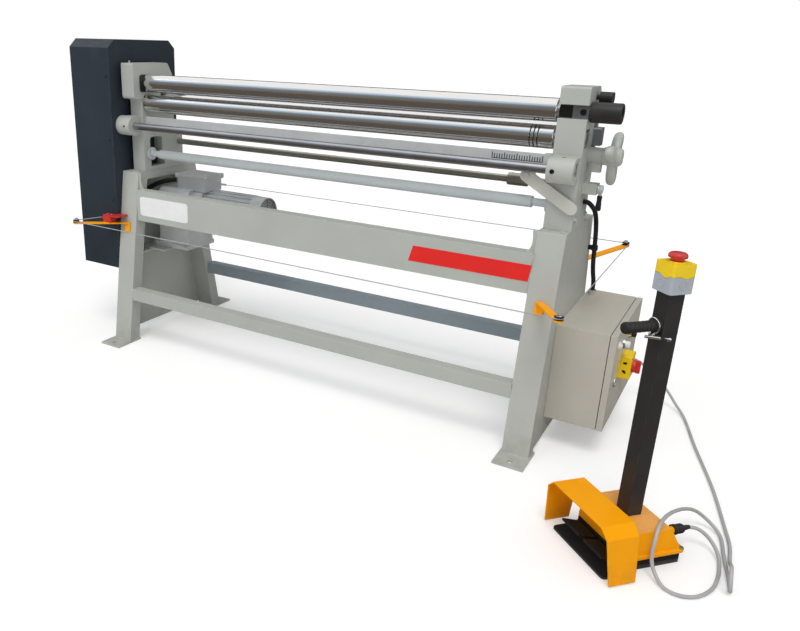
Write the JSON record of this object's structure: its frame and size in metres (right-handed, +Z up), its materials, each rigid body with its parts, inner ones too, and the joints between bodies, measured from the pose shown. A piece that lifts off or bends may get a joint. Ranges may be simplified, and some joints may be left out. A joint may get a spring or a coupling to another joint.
{
  "type": "plate rolling machine",
  "caption": "Powered plate rolling machine with pinch and bending rolls between cast side frames on two welded stands, side gear cover, electrical cabinet and a foot pedal unit on a cable.",
  "frame": {"origin": "centre of the machine's and pedal unit's footprint box on the floor, without the free cable", "axes": "+X along the rolls from the gear cover to the electrical cabinet, +Y from the operator's side to the back, +Z up"},
  "size_m": [2.4453, 1.2586, 1.149],
  "materials": {
    "frame_grey": "satin light warm grey paint",
    "cover_blue": "textured dark blue-grey paint",
    "roll_steel": "ground and polished steel",
    "dark_steel": "oiled dark steel",
    "blue_grey": "satin blue-grey paint",
    "cast_alloy": "grey painted and cast alloy",
    "orange_paint": "satin orange-yellow powder coat",
    "black_plastic": "matt black plastic",
    "black_paint": "satin black paint",
    "yellow_plastic": "glossy yellow plastic",
    "grey_plastic": "pale grey plastic",
    "red_plastic": "glossy red plastic",
    "white_plastic": "glossy white plastic",
    "cable_grey": "grey cable sheath"
  },
  "bodies": {
    "machine_frame": {"left_stand": "frame_grey", "right_stand": "frame_grey", "upper_front_beam": "frame_grey", "lower_front_beam": "frame_grey", "rear_lower_beam": "blue_grey", "left_side_frame": "frame_grey", "right_side_frame": "frame_grey", "gear_cover": "cover_blue", "gear_cover_back": "cover_blue", "drive_chain": "dark_steel", "scale_bar": "cast_alloy", "tie_tube": "blue_grey", "gearbox": "cast_alloy", "motor": "cast_alloy", "motor_lead": "black_plastic", "cabinet_body": "frame_grey", "conduit": "black_plastic", "front_left_arm": "orange_paint", "front_right_arm": "orange_paint", "rear_right_arm": "orange_paint", "rear_left_arm": "orange_paint", "safety_wire": "dark_steel", "rope_switch": "red_plastic", "pedal_base": "black_plastic", "pedal_cover": "orange_paint", "foot_guard": "orange_paint", "post": "black_paint", "stop_box_base": "grey_plastic", "stop_box_lid": "yellow_plastic", "pedal_cable": "cable_grey"},
    "top_carriage": {"left_top_bearing": "blue_grey", "right_top_bearing": "blue_grey"},
    "top_roll_body": {"top_roll": "roll_steel", "roll_tail_sleeve": "black_paint"},
    "lower_carriage": {"left_lower_bearing": "frame_grey", "right_lower_bearing": "frame_grey"},
    "lower_roll_body": {"lower_roll": "roll_steel"},
    "rear_carriage": {"left_rear_bearing": "blue_grey", "right_rear_bearing": "blue_grey"},
    "rear_roll_body": {"rear_roll": "roll_steel"},
    "door": {"cabinet_door": "frame_grey", "isolator_body": "yellow_plastic"},
    "jackshaft_body": {"jackshaft": "dark_steel"},
    "gearbox_sprocket_body": {"gearbox_sprocket": "dark_steel"},
    "front_bar_body": {"front_bar": "roll_steel"},
    "rear_cross_shaft_body": {"rear_cross_shaft": "dark_steel"},
    "stop_lever_body": {"stop_lever": "cast_alloy"},
    "hand_knob_body": {"hand_knob": "frame_grey"},
    "clamp_lever_body": {"clamp_lever": "black_plastic"},
    "drop_end_latch_body": {"drop_end_latch": "black_paint"},
    "front_left_pulley_body": {"front_left_pulley": "black_plastic"},
    "front_right_pulley_body": {"front_right_pulley": "black_plastic"},
    "rear_right_pulley_body": {"rear_right_pulley": "black_plastic"},
    "door_latch_body": {"door_latch": "roll_steel"},
    "isolator_knob_body": {"isolator_knob": "red_plastic"},
    "start_button_body": {"start_button": "white_plastic"},
    "stop_button_body": {"stop_button": "white_plastic"},
    "left_pedal_body": {"left_pedal": "black_plastic"},
    "right_pedal_body": {"right_pedal": "black_plastic"},
    "emergency_button_body": {"emergency_button": "red_plastic"}
  },
  "joints": [
    {"name": "top_roll_swing", "type": "hinge", "parent": "machine_frame", "child": "top_carriage", "pos_m": [-1.00346, -0.01382, 0.996], "axis": [0, 0, -1], "range_deg": [0, 2.5]},
    {"name": "top_roll_spin", "type": "hinge", "parent": "top_carriage", "child": "top_roll_body", "pos_m": [-0.12146, -0.01382, 0.996], "axis": [1, 0, 0], "continuous": true},
    {"name": "lower_roll_lift", "type": "slide", "parent": "machine_frame", "child": "lower_carriage", "axis": [0, 0, 1], "range_m": [0, 0.0059]},
    {"name": "lower_roll_spin", "type": "hinge", "parent": "lower_carriage", "child": "lower_roll_body", "pos_m": [-0.12146, -0.01382, 0.9225], "axis": [1, 0, 0], "continuous": true},
    {"name": "rear_roll_lift", "type": "slide", "parent": "machine_frame", "child": "rear_carriage", "axis": [0, 0, 1], "range_m": [-0.008, 0.028]},
    {"name": "rear_roll_spin", "type": "hinge", "parent": "rear_carriage", "child": "rear_roll_body", "pos_m": [-0.12146, 0.07858, 0.925], "axis": [1, 0, 0], "continuous": true},
    {"name": "jackshaft_spin", "type": "hinge", "parent": "machine_frame", "child": "jackshaft_body", "pos_m": [-1.02146, 0.07322, 0.94575], "axis": [1, 0, 0], "continuous": true},
    {"name": "gearbox_sprocket_spin", "type": "hinge", "parent": "machine_frame", "child": "gearbox_sprocket_body", "pos_m": [-1.02146, 0.10358, 0.5], "axis": [1, 0, 0], "continuous": true},
    {"name": "front_bar_turn", "type": "hinge", "parent": "machine_frame", "child": "front_bar_body", "pos_m": [-0.12146, -0.07642, 0.842], "axis": [1, 0, 0], "range_deg": [-2, 92]},
    {"name": "cross_shaft_turn", "type": "hinge", "parent": "machine_frame", "child": "rear_cross_shaft_body", "pos_m": [-0.12146, 0.15358, 0.767], "axis": [1, 0, 0], "range_deg": [-82, 282]},
    {"name": "hand_knob_turn", "type": "hinge", "parent": "machine_frame", "child": "hand_knob_body", "pos_m": [0.78854, 0.03958, 0.877], "axis": [1, 0, 0], "range_deg": [-82, 282]},
    {"name": "stop_lever_swing", "type": "hinge", "parent": "machine_frame", "child": "stop_lever_body", "pos_m": [0.58354, -0.05792, 0.816], "axis": [0, 1, 0], "range_deg": [0, 22]},
    {"name": "clamp_lever_swing", "type": "hinge", "parent": "machine_frame", "child": "clamp_lever_body", "pos_m": [0.77154, 0.03358, 0.785], "axis": [1, 0, 0], "range_deg": [-60, 60]},
    {"name": "drop_end_latch_turn", "type": "hinge", "parent": "machine_frame", "child": "drop_end_latch_body", "pos_m": [0.74654, 0.03558, 1.033], "axis": [1, 0, 0], "range_deg": [0, 80]},
    {"name": "front_left_pulley_spin", "type": "hinge", "parent": "machine_frame", "child": "front_left_pulley_body", "pos_m": [-1.07846, -0.23642, 0.4814], "axis": [0, 0, 1], "continuous": true},
    {"name": "front_right_pulley_spin", "type": "hinge", "parent": "machine_frame", "child": "front_right_pulley_body", "pos_m": [0.76454, -0.23642, 0.479], "axis": [0, 0, 1], "continuous": true},
    {"name": "rear_right_pulley_spin", "type": "hinge", "parent": "machine_frame", "child": "rear_right_pulley_body", "pos_m": [0.77954, 0.61358, 0.508], "axis": [0, 0, 1], "continuous": true},
    {"name": "cabinet_door_swing", "type": "hinge", "parent": "machine_frame", "child": "door", "pos_m": [0.87454, 0.37158, 0.244], "axis": [0, 0, 1], "range_deg": [0, 95]},
    {"name": "door_latch_turn", "type": "hinge", "parent": "door", "child": "door_latch_body", "pos_m": [0.89054, 0.02358, 0.225], "axis": [1, 0, 0], "range_deg": [0, 90]},
    {"name": "isolator_knob_turn", "type": "hinge", "parent": "door", "child": "isolator_knob_body", "pos_m": [0.93354, 0.13158, 0.247], "axis": [1, 0, 0], "range_deg": [0, 90]},
    {"name": "start_button_press", "type": "slide", "parent": "door", "child": "start_button_body", "axis": [-1, 0, 0], "range_m": [0, 0.004], "stiffness_N_per_m": 300, "springref_m": -0.002},
    {"name": "stop_button_press", "type": "slide", "parent": "door", "child": "stop_button_body", "axis": [-1, 0, 0], "range_m": [0, 0.004], "stiffness_N_per_m": 300, "springref_m": -0.002},
    {"name": "left_pedal_press", "type": "hinge", "parent": "machine_frame", "child": "left_pedal_body", "pos_m": [0.93851, -0.4566, 0.022], "axis": [0.7374, -0.6755, 0], "range_deg": [0, 12], "stiffness_Nm_per_rad": 2, "springref_deg": -5.73},
    {"name": "right_pedal_press", "type": "hinge", "parent": "machine_frame", "child": "right_pedal_body", "pos_m": [1.01963, -0.5309, 0.022], "axis": [0.7374, -0.6755, 0], "range_deg": [0, 12], "stiffness_Nm_per_rad": 2, "springref_deg": -5.73},
    {"name": "emergency_button_press", "type": "slide", "parent": "machine_frame", "child": "emergency_button_body", "axis": [0, 0, -1], "range_m": [0, 0.005], "stiffness_N_per_m": 500, "springref_m": -0.002}
  ],
  "couplings": [
    {"joint": "lower_roll_spin", "follows": "top_roll_spin", "ratio": -1},
    {"joint": "jackshaft_spin", "follows": "top_roll_spin", "ratio": -2.5714},
    {"joint": "gearbox_sprocket_spin", "follows": "top_roll_spin", "ratio": -4.4082},
    {"joint": "hand_knob_turn", "follows": "rear_roll_lift", "rad_per_m": 174.53},
    {"joint": "cross_shaft_turn", "follows": "rear_roll_lift", "rad_per_m": 174.53},
    {"joint": "front_bar_turn", "follows": "lower_roll_lift", "rad_per_m": 266.24}
  ]
}
